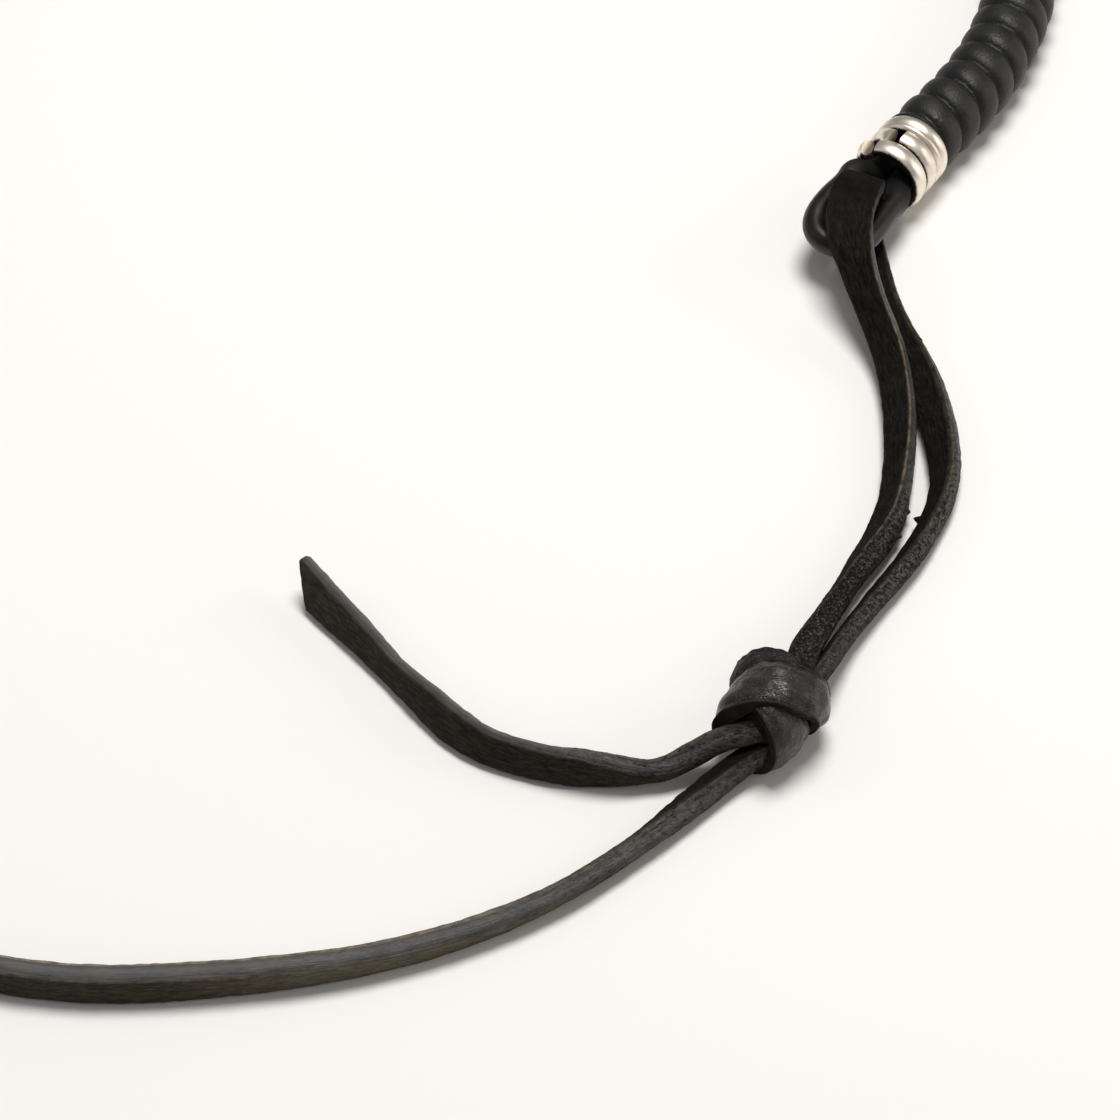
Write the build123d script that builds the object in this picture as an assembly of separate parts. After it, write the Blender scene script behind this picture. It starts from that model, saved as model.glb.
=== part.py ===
from build123d import *
import math
import os

# A black leather necklace, laid out in one whole loop on a table.
# A thick strand wound with leather lace runs most of the way round. At its near end three
# silver wire rings clamp the two ends of a round leather cord, which makes an eye. A flat
# lace passes through the eye, doubles back and is tied to itself in an overhand knot. Its
# short end is the free tail, and its long end leads on to a plain silver sleeve, which
# holds the strand's far end and closes the loop.
# Everything is in millimetres, with the table at z = 0. Places are measured on the table
# from the middle of the picture, and the part's origin is the frame origin below.

frame_origin = (-17.0, 78.2)

# Wound strand
strand_diameter = 7.4
ridge_pitch = 3.2
ridge_depth = 0.55
strand_sides = 12
core_diameter = 4.8
core_reach = 5.0
socket_depth = 5.0

# Silver wire wrap and the way it points, away from the eye
wrap_centre = (33.3, 48.8)
wrap_azimuth = 57.0
wrap_proud = 0.1
ring_count = 3
ring_pitch = 2.05
wire_height = 1.1
ring_web = 0.45
ring_slot = 0.45
slot_angle = 144.0
slot_step = 20.0

# Round leather cord of the eye
eye_cord_diameter = 2.3
eye_width = 5.2
eye_reach = 14.1
eye_neck_spread = 0.15
eye_neck_run = 0.4
eye_roll = 25.0

# Lace, as a round cord of the same section as the flat lace
lace_diameter = 2.6

# Knot
knot_place = (18.4, -19.6)
knot_size = 10.0
knot_edge = 0.5

# Plain sleeve at the strand's far end
sleeve_length = 12.0
sleeve_nose = 3.5
sleeve_wall = 0.9
sleeve_lace_depth = 4.0
sleeve_exit_run = 5.5

# Small gap between neighbouring pieces
piece_gap = 0.12

# Decimal places of a distance along the strand, so that equal places share one point
place_digits = 5

# The eye outside the wrap, from its left arm round the tip to its right arm. Columns: share
# of the way from the wrap to the tip, share of half the width, lift over the wrap's axis as
# a share of the cord's diameter.
eye_outline = [
    (0.21, -1.0, 0.61),
    (1.0, -1.0, 0.48),
    (1.0, 1.0, 0.22),
    (0.21, 1.0, 0.07),
]

# Turns of the knot: the top band, the band under it and the back lobe. Columns, as shares of
# the knot's size: place right, away and up, half width, half height and breadth. The last
# column is the band's azimuth in degrees.
knot_bands = [
    (0.04, 0.04, 0.0, 0.53, 0.405, 0.44, 86.0),
    (0.01, -0.29, -0.03, 0.43, 0.375, 0.38, 50.0),
    (-0.03, 0.32, -0.05, 0.32, 0.32, 0.34, 110.0),
]
knot_height_share = 0.41

# The strand's way round from the wire wrap to the sleeve, as arcs that follow one another.
# Columns: radius in millimetres, turn to the left in degrees, both negative to the right.
strand_bends = [
    (-40.0, -6.0),
    (46.0, 58.0),
    (46.0, 50.0),
    (66.0, 44.0),
    (76.0, 38.0),
    (110.0, 32.0),
]

# One ridge of the winding. Columns: share of the pitch, share of the ridge's depth.
ridge_profile = [
    (0.0, 0.0),
    (0.28, 1.0),
    (0.72, 1.0),
]

# Route of the lace's two legs, from the knot by the upper leg, over the eye's rim, down
# through the eye, under the rim and back to the knot by the lower leg.
legs_route = [
    (21.0, -15.8, 4.2),
    (22.9, -10.4, 2.2),
    (26.0, -3.6, 1.3),
    (29.6, 2.4, 1.3),
    (31.4, 9.6, 1.3),
    (31.8, 17.2, 1.3),
    (31.0, 24.4, 1.9),
    (28.8, 30.2, 4.6),
    (27.6, 35.6, 7.6),
    (29.1, 42.1, 7.6),
    (29.1, 42.1, 1.3),
    (30.4, 36.8, 1.3),
    (31.0, 30.6, 1.3),
    (33.4, 22.0, 1.3),
    (35.6, 14.6, 1.3),
    (35.6, 7.6, 1.3),
    (32.6, 0.4, 1.3),
    (27.6, -6.2, 1.3),
    (24.8, -12.2, 1.8),
    (21.0, -17.4, 3.4),
]

# Route of the free tail, from the knot to its cut end.
tail_route = [
    (15.6, -22.4, 4.0),
    (11.4, -24.4, 2.2),
    (5.8, -26.2, 1.3),
    (-1.2, -25.4, 1.3),
    (-7.6, -22.4, 1.4),
    (-13.4, -16.4, 1.5),
    (-18.4, -10.0, 1.5),
    (-23.2, -3.8, 1.5),
]

# Route of the long lead, from the knot to the last bend before the sleeve. Its last run
# follows from the sleeve's own place.
lead_route = [
    (17.6, -24.4, 2.3),
    (12.2, -28.2, 1.5),
    (6.4, -34.4, 1.3),
    (-2.0, -41.2, 1.3),
    (-14.0, -46.0, 1.3),
    (-28.0, -48.4, 1.3),
    (-43.0, -48.8, 1.3),
    (-57.0, -44.8, 1.3),
    (-68.6, -36.2, 1.3),
    (-76.4, -23.8, 1.3),
    (-80.2, -9.6, 1.3),
    (-81.0, 4.0, 1.4),
]


def placed(x, y, z):
    """A point of the table, seen from the part's own origin."""
    return Vector(x - frame_origin[0], y - frame_origin[1], z)


def heading_vector(degrees):
    return Vector(math.cos(math.radians(degrees)), math.sin(math.radians(degrees)), 0)


# Sizes that follow from the ones above

strand_radius = strand_diameter / 2
core_radius = core_diameter / 2
lace_radius = lace_diameter / 2
wrap_radius = strand_radius + wrap_proud
wrap_length = ring_count * ring_pitch
wrap_axis = heading_vector(wrap_azimuth)
wrap_right = heading_vector(wrap_azimuth - 90)
wrap_middle = placed(*wrap_centre, wrap_radius)
bore_radius = wrap_radius - wire_height
strand_start = placed(*wrap_centre, strand_radius) + wrap_axis * (wrap_length / 2 + piece_gap)
eye_neck = (eye_cord_diameter + eye_neck_spread) / 2
socket_radius = (eye_neck + eye_cord_diameter / 2 + piece_gap) / math.cos(math.pi / strand_sides)


def strand_station(distance):
    """Centre and heading of the strand at a distance from the wire wrap."""
    point = strand_start
    heading = wrap_azimuth
    left = distance
    for radius, turn in strand_bends:
        step = min(left, radius * math.radians(turn))
        hub = point + heading_vector(heading + 90) * radius
        heading = heading + math.degrees(step / radius)
        point = hub - heading_vector(heading + 90) * radius
        left = left - step
    return point, heading


strand_length = sum(radius * math.radians(turn) for radius, turn in strand_bends)
strand_length = round(strand_length, place_digits)
strand_end, end_heading = strand_station(strand_length)
end_axis = heading_vector(end_heading)


def ridge_radius(phase):
    """Radius of the winding at a share of one pitch, between its valley and its crest."""
    rows = ridge_profile + [(1.0, ridge_profile[0][1])]
    for (share_a, rise_a), (share_b, rise_b) in zip(rows, rows[1:]):
        if share_a <= phase <= share_b:
            part = (phase - share_a) / (share_b - share_a)
            rise = rise_a + (rise_b - rise_a) * part
            return strand_radius - ridge_depth * (1 - rise)
    return strand_radius - ridge_depth


def strand_point(distance, column):
    """A point of the wound surface. Each column is one line along the strand."""
    centre, heading = strand_station(distance)
    phase = (distance / ridge_pitch - column / strand_sides) % 1.0
    if phase > 1.0 - 1e-6:
        phase = 0.0
    angle = 2 * math.pi * column / strand_sides
    radius = ridge_radius(phase)
    across = heading_vector(heading - 90) * (radius * math.cos(angle))
    return centre + across + Vector(0, 0, radius * math.sin(angle))


def end_ring(middle, heading, radius):
    """A ring of points square across the strand, one on each of its columns."""
    ring = []
    for column in range(strand_sides):
        angle = 2 * math.pi * column / strand_sides
        across = heading_vector(heading - 90) * (radius * math.cos(angle))
        ring.append(middle + across + Vector(0, 0, radius * math.sin(angle)))
    return ring


def polygon(points):
    return Wire.make_polygon(points)


def stub_faces(root, tip):
    """Side and end faces of a round stub or socket between two rings of points."""
    faces = [Face(polygon(tip))]
    for column in range(strand_sides):
        after = (column + 1) % strand_sides
        faces.append(Face(polygon([root[column], root[after], tip[after], tip[column]])))
    return faces


def make_wound_strand():
    """The strand, its winding a helix of low ridges round the core.

    The near end has a socket for the two ends of the eye's cord. The core sticks out of the
    far end, into the sleeve.
    """
    rows_in_turn = len(ridge_profile)
    turn_count = math.ceil(strand_length / ridge_pitch) + 1
    points = {}

    def vertex(row, column):
        turn, place = divmod(row, rows_in_turn)
        share = ridge_profile[place][0]
        distance = (turn - 1 + share + column / strand_sides) * ridge_pitch
        distance = round(min(max(distance, 0.0), strand_length), place_digits)
        key = (distance, column % strand_sides)
        if key not in points:
            points[key] = strand_point(*key)
        return key

    faces = []
    for row in range(turn_count * rows_in_turn):
        for column in range(strand_sides):
            a = vertex(row, column)
            b = vertex(row, column + 1)
            c = vertex(row + 1, column + 1)
            d = vertex(row + 1, column)
            for corners in ((a, b, c), (a, c, d)):
                if len(set(corners)) == 3:
                    faces.append(Face(polygon([points[key] for key in corners])))
    near = [strand_point(0.0, column) for column in range(strand_sides)]
    far = [strand_point(strand_length, column) for column in range(strand_sides)]
    mouth = end_ring(strand_start, wrap_azimuth, socket_radius)
    floor = end_ring(strand_start + wrap_axis * (socket_depth + piece_gap), wrap_azimuth, socket_radius)
    root = end_ring(strand_end, end_heading, core_radius)
    tip = end_ring(strand_end + end_axis * core_reach, end_heading, core_radius)
    faces.append(Face(polygon(near), [polygon(mouth)]))
    faces.append(Face(polygon(far), [polygon(root)]))
    faces.extend(stub_faces(mouth, floor))
    faces.extend(stub_faces(root, tip))
    return Solid(Shell(faces))


def make_wire_wrap():
    """Three half-round rings of wire, soldered side by side, two of them with open ends."""
    half = wrap_length / 2
    profile = [Line((bore_radius, -half), (bore_radius, half))]
    web_radius = bore_radius + ring_web
    profile.append(Line((bore_radius, half), (web_radius, half)))
    for ring in reversed(range(ring_count)):
        low = -half + ring * ring_pitch
        high = low + ring_pitch
        middle = (low + high) / 2
        profile.append(ThreePointArc((web_radius, high), (wrap_radius, middle), (web_radius, low)))
    profile.append(Line((web_radius, -half), (bore_radius, -half)))
    section = make_face(Curve() + profile)
    rings = revolve(Plane.XZ * section, Axis.Z)
    for ring in range(ring_count - 1):
        middle = -half + (ring + 0.5) * ring_pitch
        slot = Box(wire_height * 2, ring_slot, ring_pitch - ring_web)
        slot = Pos(web_radius + wire_height, 0, middle) * slot
        rings = rings - Rot(0, 0, slot_step * ring - slot_angle) * slot
    wrap_plane = Plane(origin=wrap_middle, x_dir=wrap_right, z_dir=wrap_axis)
    return wrap_plane * rings


def wrap_point(reach, side, height):
    """A point by the wire wrap: how far towards the eye, how far right, and its height."""
    spot = wrap_middle - wrap_axis * reach + wrap_right * side
    return Vector(spot.X, spot.Y, height)


def tube(points, radii, diameter):
    """A round cord of straight runs joined by tangent arcs."""
    path = FilletPolyline(*points, radius=radii)
    section = Plane(origin=path @ 0, z_dir=path % 0) * Circle(diameter / 2)
    solid = sweep(section, path=path)
    return solid, path.length


def make_eye():
    """The eye: both ends of the cord side by side in the strand and the wrap, and its loop."""
    mouth = wrap_length / 2
    neck_out = eye_neck * math.cos(math.radians(eye_roll))
    neck_up = eye_neck * math.sin(math.radians(eye_roll))
    inner = -mouth - piece_gap - socket_depth
    outer = mouth + eye_neck_run
    points = [
        wrap_point(inner, -neck_out, wrap_radius + neck_up),
        wrap_point(outer, -neck_out, wrap_radius + neck_up),
    ]
    for reach_share, side_share, lift_share in eye_outline:
        reach = mouth + (eye_reach - mouth) * reach_share
        side = eye_width / 2 * side_share
        points.append(wrap_point(reach, side, wrap_radius + eye_cord_diameter * lift_share))
    points.append(wrap_point(outer, neck_out, wrap_radius - neck_up))
    points.append(wrap_point(inner, neck_out, wrap_radius - neck_up))
    bend = eye_cord_diameter
    tip = 0.48 * eye_width
    radii = [bend, bend, tip, tip, bend, bend]
    return tube(points, radii, eye_cord_diameter)


def lace_radii(points):
    """The largest arc at each corner that leaves a tenth of the shorter run straight."""
    radii = []
    for before, at, after in zip(points, points[1:], points[2:]):
        first = at - before
        second = after - at
        turn = math.radians(first.get_angle(second))
        shorter = min(first.length, second.length)
        radii.append(0.45 * shorter / math.tan(turn / 2))
    return radii


def make_lace(name, points):
    radii = lace_radii(points)
    solid, length = tube(points, radii, lace_diameter)
    expected = math.pi * lace_diameter**2 / 4 * length
    print(name, "length", round(length, 1), "volume ratio", round(solid.volume / expected, 4))
    print("   radii", [round(radius, 1) for radius in radii])
    return solid


def knot_band(right, away, up, half_width, half_height, breadth, azimuth):
    """One turn of the knot: a flat band round a lying oval, its edges rounded."""
    middle = placed(*knot_place, knot_height_share * knot_size)
    middle = middle + Vector(right, away, up) * knot_size
    plane = Plane(origin=middle, x_dir=heading_vector(azimuth - 90), z_dir=heading_vector(azimuth))
    oval = Ellipse(half_width * knot_size, half_height * knot_size)
    drum = extrude(oval, amount=breadth * knot_size / 2, both=True)
    return plane * fillet(drum.edges(), knot_edge)


def lace_socket(points):
    """Room in the knot for the end of a lace."""
    along = (points[1] - points[0]).normalized()
    plane = Plane(origin=points[0] - along * piece_gap, z_dir=along)
    room = Cylinder(lace_radius + piece_gap, knot_size, align=(Align.CENTER, Align.CENTER, Align.MIN))
    return plane * room


def make_knot(lace_ends):
    """The overhand knot, pulled tight, with room for each lace that runs into it."""
    knot = Part()
    for row in knot_bands:
        knot = knot + knot_band(*row)
    for points in lace_ends:
        knot = knot - lace_socket(points)
    return knot


def make_sleeve():
    """The plain sleeve: a bore for the strand's core, a round nose and a hole for the lace."""
    outer = strand_radius
    hole = lace_radius + piece_gap
    bore = core_radius + piece_gap
    floor = core_reach + piece_gap * 2
    nose_start = sleeve_length - sleeve_nose
    nose_radius = hole + sleeve_wall
    profile = Polyline(
        (bore, 0),
        (outer, 0),
        (outer, nose_start),
        (nose_radius, sleeve_length),
        (hole, sleeve_length),
        (hole, floor),
        (bore, floor),
        close=True,
    )
    body = revolve(Plane.XZ * make_face(profile), Axis.Z)
    plane = Plane(origin=strand_end + end_axis * piece_gap, z_dir=end_axis)
    return plane * body


def build():
    nose = sleeve_length + piece_gap
    lead_bend = strand_end + end_axis * (nose + sleeve_exit_run)
    lead_end = strand_end + end_axis * (nose - sleeve_lace_depth)
    legs = [placed(*row) for row in legs_route]
    tail = [placed(*row) for row in tail_route]
    lead = [placed(*row) for row in lead_route] + [lead_bend, lead_end]
    print("strand length", round(strand_length, 1), "end", strand_end, "heading", end_heading)
    print("lead bend", lead_bend, "lead end", lead_end)
    eye, eye_length = make_eye()
    print("eye cord length", round(eye_length, 1))
    return {
        "wound_strand": make_wound_strand(),
        "wire_wrap": make_wire_wrap(),
        "leather_eye": eye,
        "end_sleeve": make_sleeve(),
        "lace_legs": make_lace("legs", legs),
        "lace_tail": make_lace("tail", tail),
        "lace_lead": make_lace("lead", lead),
        "lace_knot": make_knot([legs[:2], legs[:-3:-1], tail[:2], lead[:2]]),
    }


os.makedirs("parts", exist_ok=True)
for node, shape in build().items():
    export_step(shape, f"parts/{node}.step")
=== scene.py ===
"""A black leather necklace, laid out in a loop, with its flat lace knotted through a leather eye.

Lengths in the tables are in millimetres. Places are measured on the table that the necklace
lies on, from the middle of the picture, and placed() turns them to metres in the part's frame.
"""
import math
from functools import partial
from types import SimpleNamespace

import bpy
import numpy as np
from mathutils import Matrix, Vector, noise


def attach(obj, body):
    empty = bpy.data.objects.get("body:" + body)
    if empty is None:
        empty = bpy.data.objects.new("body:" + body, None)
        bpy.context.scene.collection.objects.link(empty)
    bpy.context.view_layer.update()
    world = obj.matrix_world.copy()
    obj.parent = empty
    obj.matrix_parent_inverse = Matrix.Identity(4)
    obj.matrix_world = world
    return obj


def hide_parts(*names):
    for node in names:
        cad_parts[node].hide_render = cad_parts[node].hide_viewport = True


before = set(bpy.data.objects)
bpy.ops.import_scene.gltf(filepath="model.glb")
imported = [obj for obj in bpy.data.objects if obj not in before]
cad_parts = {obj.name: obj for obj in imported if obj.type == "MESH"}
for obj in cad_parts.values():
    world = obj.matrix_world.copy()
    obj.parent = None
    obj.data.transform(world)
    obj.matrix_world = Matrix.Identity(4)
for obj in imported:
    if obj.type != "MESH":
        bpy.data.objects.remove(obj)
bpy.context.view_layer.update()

MM = 0.001
FRAME_ORIGIN = (-17, 78.2)
UP = np.array([0, 0, 1])


def placed(x, y, z):
    """A point of the table, in metres from the part's own origin."""
    return ((x - FRAME_ORIGIN[0]) * MM, (y - FRAME_ORIGIN[1]) * MM, z * MM)


def heading(degrees):
    """The level way that lies so many degrees round from the picture's right."""
    return np.array([math.cos(math.radians(degrees)), math.sin(math.radians(degrees)), 0])


def linear(hex_colour):
    """An sRGB hex colour as linear red, green, blue and alpha."""
    values = [int(hex_colour[i:i + 2], 16) / 255 for i in (1, 3, 5)]
    return tuple(v / 12.92 if v <= 0.04045 else ((v + 0.055) / 1.055) ** 2.4 for v in values) + (1,)


# Kinds of nodes by the names used here. Columns: own name, settings, output, inputs in order.
NODE_KINDS = {
    "range": ("ShaderNodeMapRange", {}, 0, range(5)),
    "colours": ("ShaderNodeMix", {"data_type": "RGBA"}, 2, (0, 6, 7)),
    "numbers": ("ShaderNodeMix", {"data_type": "FLOAT"}, 0, (0, 2, 3)),
    "noise": ("ShaderNodeTexNoise", {}, 0, ("Vector", "Scale", "Detail", "Roughness", "Distortion")),
    "bump": ("ShaderNodeBump", {}, 0, ("Strength", "Distance", "Height", "Normal")),
    "place": ("ShaderNodeTexCoord", {}, "Object", ()),
    "vector": ("ShaderNodeCombineXYZ", {}, 0, range(3)),
    "split": ("ShaderNodeSeparateXYZ", {}, 0, range(1)),
    "marking": ("ShaderNodeAttribute", {}, "Fac", ()),
    "read": ("GeometryNodeInputNamedAttribute", {"data_type": "FLOAT"}, 0, ("Name",)),
    "store": ("GeometryNodeStoreNamedAttribute", {"data_type": "FLOAT", "domain": "POINT"}, 0,
              ("Geometry", "Name", "Value")),
    **{sign: ("ShaderNodeMath", {"operation": name}, 0, range(2)) for sign, name in (
        ("+", "ADD"), ("-", "SUBTRACT"), ("*", "MULTIPLY"), ("/", "DIVIDE"))},
    **{name: ("ShaderNodeMath", {"operation": name}, 0, range(3)) for name in (
        "MULTIPLY_ADD", "POWER", "SQRT", "ABSOLUTE", "FRACT", "SINE", "COSINE", "RADIANS",
        "GREATER_THAN", "LESS_THAN")},
    **{"VECTOR " + name: ("ShaderNodeVectorMath", {"operation": name}, 0, range(2)) for name in (
        "ADD", "MULTIPLY", "NORMALIZE", "CROSS_PRODUCT")},
    "VECTOR SCALE": ("ShaderNodeVectorMath", {"operation": "SCALE"}, 0, (0, "Scale")),
}


def add_node(tree, kind, *values, **settings):
    """Adds a node with its settings, and with a value or a link for its inputs, and gives its output.

    The values come in the order of NODE_KINDS, or as one dict of inputs. Colours are hex.
    """
    own_name, usual, output, order = NODE_KINDS.get(kind, (kind, {}, 0, range(4)))
    node = tree.nodes.new(own_name)
    for name, value in {**usual, **settings}.items():
        setattr(node, name, value)
    inputs = values[0] if values and isinstance(values[0], dict) else dict(zip(order, values))
    for key, value in inputs.items():
        if isinstance(value, bpy.types.NodeSocket):
            tree.links.new(value, node.inputs[key])
        else:
            node.inputs[key].default_value = linear(value) if str(value).startswith("#") else value
    return node.outputs[output] if node.outputs else None


def add_object(name, data):
    """An object of the scene, at the origin."""
    added = bpy.data.objects.new(name, data)
    bpy.context.scene.collection.objects.link(added)
    return added


# ---- materials ----


def new_material(name, **values):
    """A material, its shader with its plain numbers set, and what adds a node to its tree."""
    material = bpy.data.materials.new(name)
    material.use_nodes = True
    shader = material.node_tree.nodes["Principled BSDF"]
    for key, value in values.items():
        shader.inputs[key.replace("_", " ")].default_value = value
    return material, shader, partial(add_node, material.node_tree)


def drive(shader, colour, roughness, normal):
    """Links a shader's colour, roughness and bumps."""
    for key, socket in (("Base Color", colour), ("Roughness", roughness), ("Normal", normal)):
        shader.id_data.links.new(socket, shader.inputs[key])


LACE_MARKINGS = ("grain", "arris", "crack_and_shade", "dusk", "pebble", "wrinkled")


def lace_leather(name, specular, grain_roughness):
    """Drum-dyed cowhide lace: a worn black grain face, raw brown fibres on its cut faces.

    The grain face is grey-black, pitted and creased, and it catches the light. The cut faces are
    dull and nearly black-brown, and the arrises are rubbed back to the tan hide.
    """
    material, shader, add = new_material(name, Specular_IOR_Level=specular)
    grain, arris, crack_and_shade, dusk, pebble, wrinkled = (
        add("marking", attribute_name=key) for key in LACE_MARKINGS)
    place = add("place")
    along = add("ShaderNodeUVMap", uv_map="lace_mm")
    # Noises that run with the lace: fibres 0.15 mm thick and 1.5 mm long, coarser than real ones
    # so that they show, creases 0.15 mm wide and 1 to 3 mm long, soft long streaks, and rubbed
    # runs of about 1 mm. Columns: scale across and along the lace, turn, detail, warp.
    fibres, creases, streaks, runs = (
        add("noise", add("ShaderNodeMapping", {0: along, 2: (0, 0, turn), 3: (across, lengthwise, 1)}),
            1, detail, 0.62, warp)
        for across, lengthwise, turn, detail, warp in (
            (6.5, 0.75, 0.3, 4, 1), (1.9, 0.5, 0.12, 3, 1.4),
            (3.4, 0.22, 0.05, 3, 0), (1.6, 0.9, 0, 4, 0)))
    # Cloudy dye in patches of about 3 mm, crumpled patches of about 1 mm, pits of about 0.3 mm
    # where the lace is bent hard, and hair pits and scuffs of about 0.15 mm
    clouds, crumple, hollows, specks = (
        add("noise", place, scale, detail, 0.6)
        for scale, detail in ((340, 3), (950, 3), (3100, 2), (5200, 3)))
    from_crease = add("ABSOLUTE", add("-", creases, 0.5))
    crease = add("*", add("range", from_crease, 0.004, 0.028, 1, 0), wrinkled)
    pits = add("*", add("range", hollows, 0.5, 0.42), pebble)
    cloud_share = add("range", clouds, 0.35, 0.68)
    pale_grain = add("colours", cloud_share, "#3f3d3e", "#514d47")
    dull_grain = add("colours", cloud_share, "#070707", "#1d1c1a")
    # Painted highlight: the grain is painted paler along the middle of its face, less where it is dusky;
    # polished is the grain with this painted highlight
    from_middle = add("ABSOLUTE", add("split", along))
    painted_highlight_share = add("*", add("range", from_middle, 0.95, 0.15, 0, 0.55),
                       add("range", dusk, 0, 1, 1, 0.15))
    polished = add("colours", painted_highlight_share, add("colours", dusk, pale_grain, dull_grain), "#6c6b6c")
    streaked = add("colours", add("range", streaks, 0.48, 0.8, 0, 0.55), polished,
                   add("colours", dusk, "#67645f", "#403d39"))
    scuff_share = add("*", add("range", specks, 0.53, 0.67, 0, 0.8), pebble)
    pitted = add("colours", pits, add("colours", scuff_share, streaked, "#757169"), "#050505")
    creased = add("colours", crease, pitted, "#0c0b0a")
    fibre_share = add("range", fibres, 0.42, 0.72)
    raw = add("colours", dusk, add("colours", fibre_share, "#4d473d", "#777061"),
              add("colours", fibre_share, "#040403", "#241f18"))
    rub_share = add("*", arris, add("range", runs, 0.36, 0.6, 0.15, 1))
    worn = add("colours", rub_share, add("colours", grain, raw, creased), "#8c7f6b")
    roughness = add("+", add("range", grain, 0, 1, 0.92, grain_roughness),
                    add("range", crumple, 0.32, 0.68, -0.12, 0.12))
    crumpled = add("*", add("*", crumple, grain), add("range", pebble, 0, 0.8, 0.15, 1))
    stretched = add("*", add("*", streaks, grain), add("range", pebble, 0, 0.8, 0.75, 0.25))
    coarse_height = add("+", add("+", crumpled, stretched), add("*", crease, -0.35))
    coarse_bump = add("bump", 0.6, 0.0003, coarse_height)
    pit_bump = add("bump", 0.9, 0.00014, add("*", pits, -1), coarse_bump)
    soft_specks = add("*", specks, add("range", pebble, 0, 0.8, 0.25, 1))
    fine_bump = add("bump", 0.35, 0.0001, add("numbers", grain, fibres, soft_specks), pit_bump)
    # The near-black crack colour paints the cracks and also the painted shade carried in the crack marking
    drive(shader, add("colours", crack_and_shade, worn, "#080706"), roughness, fine_bump)
    return material


def cord_leather():
    """Round drum-dyed leather cord: smooth, waxed, nearly black, with a soft broad sheen."""
    material, shader, add = new_material("waxed round leather cord", Specular_IOR_Level=0.36)
    # Cloudy dye in patches of about 2.5 mm, and pores of about 0.25 mm
    place = add("place")
    clouds = add("noise", place, 420, 4)
    pores = add("noise", place, 4000, 2)
    clean = add("colours", add("range", clouds, 0.35, 0.7), "#060606", "#171513")
    # Painted shade, near black and dull, where the cord goes into the wrap's mouth
    grime = add("marking", attribute_name="grime")
    roughness = add("numbers", grime, add("range", clouds, 0.3, 0.7, 0.32, 0.46), 0.95)
    drive(shader, add("colours", grime, clean, "#020202"), roughness, add("bump", 0.3, 0.00004, pores))
    return material


def winding_leather():
    """Glazed kid leather lace, wound edge to edge: smooth black with grey highlights."""
    material, shader, add = new_material("glazed kid winding", Specular_IOR_Level=0.4)
    # Cloudy dye in patches of about 2 mm, and grain cells of about 0.3 mm
    place = add("place")
    clouds = add("noise", place, 520, 4)
    cells = add("ShaderNodeTexVoronoi", {"Vector": place, "Scale": 3400})
    crest_colour = add("colours", add("range", clouds, 0.35, 0.7), "#0b0b0b", "#201f1d")
    # Painted shade: the valleys between the lace's turns are painted near black
    colour = add("colours", add("marking", attribute_name="valley"), crest_colour, "#030303")
    drive(shader, colour, add("range", clouds, 0.3, 0.7, 0.44, 0.6), add("bump", 0.5, 0.00006, cells))
    return material


def polished_silver(name, tarnished):
    """Sterling silver, drawn and polished: warm white, with handling haze and tarnish in its recesses."""
    material, shader, add = new_material(name, Metallic=1)
    # Handling haze in patches of about 1.5 mm, and rub marks of about 0.3 mm
    place = add("place")
    haze = add("noise", place, 700, 4)
    marks = add("noise", place, 3000, 3)
    colour = add("colours", add("range", haze, 0.3, 0.75), "#f6efe5", "#ddd0be")
    roughness = add("range", haze, 0.3, 0.75, 0.34, 0.46)
    if tarnished:
        edge = add("+", add("marking", attribute_name="recess"), add("MULTIPLY_ADD", marks, 0.5, -0.25))
        tarnish = add("range", edge, 0.3, 0.75)
        colour = add("colours", tarnish, colour, "#2c2118")
        roughness = add("numbers", tarnish, roughness, 0.6)
    drive(shader, colour, roughness, add("bump", 0.15, 0.00004, marks))
    return material


# ---- camera, light and table ----

CAMERA_DISTANCE = 400
CAMERA_ELEVATION = 48
CAMERA_LENS = 141.43
SENSOR = 36
# Where the soft lights look, and how bright the room is behind them
LIGHT_AIM = (20, 0, 0)
ROOM_LIGHT = 0.25
# In metres: how near and how far the camera sees, and half the side of the table's board
CLIP_RANGE = (0.01, 20)
BOARD_HALF = 3


def make_camera():
    rise = math.radians(CAMERA_ELEVATION)
    data = bpy.data.cameras.new("camera")
    data.lens = CAMERA_LENS
    data.sensor_width = SENSOR
    data.clip_start, data.clip_end = CLIP_RANGE
    camera = add_object("camera", data)
    camera.location = placed(0, -CAMERA_DISTANCE * math.cos(rise), CAMERA_DISTANCE * math.sin(rise))
    camera.rotation_euler = (math.radians(90 - CAMERA_ELEVATION), 0, 0)
    bpy.context.scene.camera = camera


# Soft lights. Columns: name, place, size across, watts, colour.
SOFT_LIGHTS = [
    ("overhead_softbox", (60, 150, 620), 300, 3.55, "#fffdfa"),
    ("left_softbox", (-520, 60, 330), 360, 0.2, "#f6f8ff"),
    ("right_card", (560, 60, 200), 380, 0.7, "#fff8ee"),
    ("front_fill", (120, -520, 420), 420, 0.12, "#ffffff"),
]


def make_lights():
    for name, place, size, watts, colour in SOFT_LIGHTS:
        data = bpy.data.lights.new(name, "AREA")
        data.shape = "DISK"
        data.size = size * MM
        data.energy = watts
        data.color = linear(colour)[:3]
        light = add_object(name, data)
        light.location = placed(*place)
        aim = Vector(placed(*LIGHT_AIM)) - light.location
        light.rotation_euler = aim.to_track_quat("-Z", "Y").to_euler()
    world = bpy.data.worlds.new("pale room")
    world.use_nodes = True
    background = world.node_tree.nodes["Background"]
    background.inputs["Color"].default_value = linear("#f3f1ee")
    background.inputs["Strength"].default_value = ROOM_LIGHT
    bpy.context.scene.world = world
    bpy.context.scene.view_settings.view_transform = "Standard"


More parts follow.
